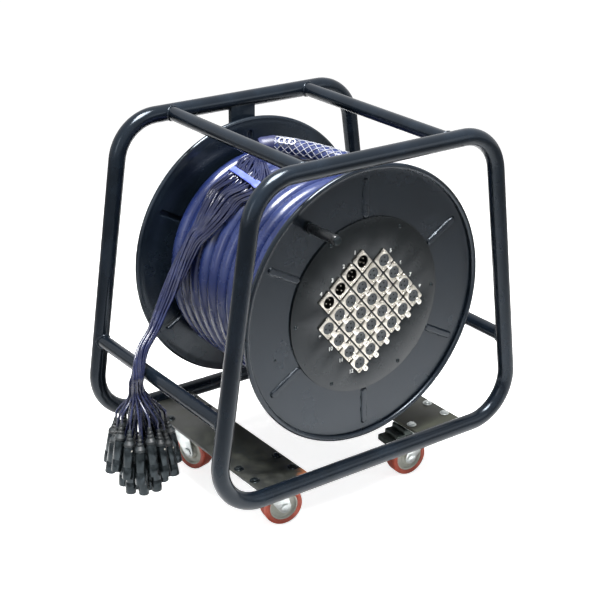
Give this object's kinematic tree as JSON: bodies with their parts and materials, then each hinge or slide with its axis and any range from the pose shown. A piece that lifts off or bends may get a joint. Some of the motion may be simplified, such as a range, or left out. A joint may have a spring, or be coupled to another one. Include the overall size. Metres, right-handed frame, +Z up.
{
  "type": "stage box snake",
  "caption": "Multicore audio cable on a drum with a stage box of connectors in its face, in a tube frame on swivel castors, with a fan of tails and plugs over one rail.",
  "frame": {"origin": "on the floor under the middle of the reel's bounding box, measured without the loose cable and its plugs", "axes": "+X across the reel, to the right as one faces the connectors; +Y along the axle, away from the connectors; +Z up"},
  "size_m": [0.7063, 0.4568, 0.656],
  "materials": {
    "frame_paint": "gloss",
    "plate_paint": "satin",
    "disc_paint": "satin",
    "panel_paint": "matte",
    "ground_steel": "ground",
    "dark_steel": "satin",
    "zinc": "bright zinc plated",
    "nickel": "bright nickel plated",
    "latch_metal": "bright nickel plated",
    "peg_black": "satin",
    "cable_jacket": "satin",
    "tail_jacket": "satin",
    "strap_blue": "woven",
    "grip_mesh": "braided",
    "plug_black": "satin",
    "wheel_plastic": "satin",
    "tyre_rubber": "smooth"
  },
  "bodies": {
    "frame": {"front_hoop": "frame_paint", "rear_hoop": "frame_paint", "top_rail_left": "frame_paint", "top_rail_right": "frame_paint", "side_rail_left": "frame_paint", "side_rail_right": "frame_paint", "castor_plate_left": "plate_paint", "castor_plate_right": "plate_paint", "axle_post": "frame_paint", "stub_axle": "ground_steel", "axle_nut": "zinc", "castor_top_front_left": "zinc", "castor_top_front_right": "zinc", "castor_top_rear_left": "zinc", "castor_top_rear_right": "zinc", "cable_loose_end": "cable_jacket", "pulling_grip": "grip_mesh", "tie_strap": "strap_blue", "tail_bundle": "tail_jacket", "plug_cluster": "plug_black"},
    "drum": {"front_bearing": "ground_steel", "rear_bearing": "ground_steel", "drum_hub": "dark_steel", "drum_barrel": "dark_steel", "front_disc": "disc_paint", "rear_disc": "disc_paint", "stage_panel": "panel_paint", "connector_row_1": "nickel", "connector_row_2": "nickel", "connector_row_3": "nickel", "connector_row_4": "nickel", "connector_row_5": "nickel", "connector_row_6": "nickel", "cable_core": "cable_jacket", "cable_winding": "cable_jacket", "peg_spindle": "zinc"},
    "peg": {"peg_grip": "peg_black"},
    "latches_1": {"latch_row_1": "latch_metal"},
    "latches_2": {"latch_row_2": "latch_metal"},
    "latches_3": {"latch_row_3": "latch_metal"},
    "latches_4": {"latch_row_4": "latch_metal"},
    "latches_5": {"latch_row_5": "latch_metal"},
    "latches_6": {"latch_row_6": "latch_metal"},
    "swivel_front_left": {"fork_front_left": "zinc", "wheel_bolt_front_left": "zinc"},
    "swivel_front_right": {"fork_front_right": "zinc", "wheel_bolt_front_right": "zinc"},
    "swivel_rear_left": {"fork_rear_left": "zinc", "wheel_bolt_rear_left": "zinc"},
    "swivel_rear_right": {"fork_rear_right": "zinc", "wheel_bolt_rear_right": "zinc"},
    "wheel_front_left": {"wheel_centre_front_left": "wheel_plastic", "tyre_front_left": "tyre_rubber"},
    "wheel_front_right": {"wheel_centre_front_right": "wheel_plastic", "tyre_front_right": "tyre_rubber"},
    "wheel_rear_left": {"wheel_centre_rear_left": "wheel_plastic", "tyre_rear_left": "tyre_rubber"},
    "wheel_rear_right": {"wheel_centre_rear_right": "wheel_plastic", "tyre_rear_right": "tyre_rubber"},
    "pedal": {"brake_pedal": "dark_steel"}
  },
  "joints": [
    {"name": "drum_spin", "type": "hinge", "parent": "frame", "child": "drum", "pos_m": [0, 0.0159, 0.379], "axis": [0, 1, 0], "continuous": true},
    {"name": "peg_spin", "type": "hinge", "parent": "drum", "child": "peg", "pos_m": [-0.11638, -0.19, 0.53919], "axis": [0, 1, 0], "continuous": true},
    {"name": "latch_slide_1", "type": "slide", "parent": "drum", "child": "latches_1", "axis": [0, 1, 0], "range_m": [0, 0.0015], "stiffness_N_per_m": 800},
    {"name": "latch_slide_2", "type": "slide", "parent": "drum", "child": "latches_2", "axis": [0, 1, 0], "range_m": [0, 0.0015], "stiffness_N_per_m": 800},
    {"name": "latch_slide_3", "type": "slide", "parent": "drum", "child": "latches_3", "axis": [0, 1, 0], "range_m": [0, 0.0015], "stiffness_N_per_m": 800},
    {"name": "latch_slide_4", "type": "slide", "parent": "drum", "child": "latches_4", "axis": [0, 1, 0], "range_m": [0, 0.0015], "stiffness_N_per_m": 800},
    {"name": "latch_slide_5", "type": "slide", "parent": "drum", "child": "latches_5", "axis": [0, 1, 0], "range_m": [0, 0.0015], "stiffness_N_per_m": 800},
    {"name": "latch_slide_6", "type": "slide", "parent": "drum", "child": "latches_6", "axis": [0, 1, 0], "range_m": [0, 0.0015], "stiffness_N_per_m": 800},
    {"name": "swivel_spin_front_left", "type": "hinge", "parent": "frame", "child": "swivel_front_left", "pos_m": [-0.168, -0.1101, 0.09], "axis": [0, 0, 1], "continuous": true},
    {"name": "swivel_spin_front_right", "type": "hinge", "parent": "frame", "child": "swivel_front_right", "pos_m": [0.168, -0.1101, 0.09], "axis": [0, 0, 1], "continuous": true},
    {"name": "swivel_spin_rear_left", "type": "hinge", "parent": "frame", "child": "swivel_rear_left", "pos_m": [-0.168, 0.1549, 0.09], "axis": [0, 0, 1], "continuous": true},
    {"name": "swivel_spin_rear_right", "type": "hinge", "parent": "frame", "child": "swivel_rear_right", "pos_m": [0.168, 0.1549, 0.09], "axis": [0, 0, 1], "continuous": true},
    {"name": "wheel_spin_front_left", "type": "hinge", "parent": "swivel_front_left", "child": "wheel_front_left", "pos_m": [-0.14042, -0.11496, 0.035], "axis": [0.1736, 0.9848, 0], "continuous": true},
    {"name": "wheel_spin_front_right", "type": "hinge", "parent": "swivel_front_right", "child": "wheel_front_right", "pos_m": [0.14007, -0.10815, 0.035], "axis": [-0.0698, -0.9976, 0], "continuous": true},
    {"name": "wheel_spin_rear_left", "type": "hinge", "parent": "swivel_rear_left", "child": "wheel_rear_left", "pos_m": [-0.16075, 0.12785, 0.035], "axis": [0.9659, 0.2588, 0], "continuous": true},
    {"name": "wheel_spin_rear_right", "type": "hinge", "parent": "swivel_rear_right", "child": "wheel_rear_right", "pos_m": [0.14169, 0.14532, 0.035], "axis": [0.342, -0.9397, 0], "continuous": true},
    {"name": "pedal_hinge", "type": "hinge", "parent": "swivel_front_right", "child": "pedal", "pos_m": [0.15204, -0.10898, 0.0804], "axis": [-0.0698, -0.9976, 0], "range_deg": [0, 9]}
  ]
}
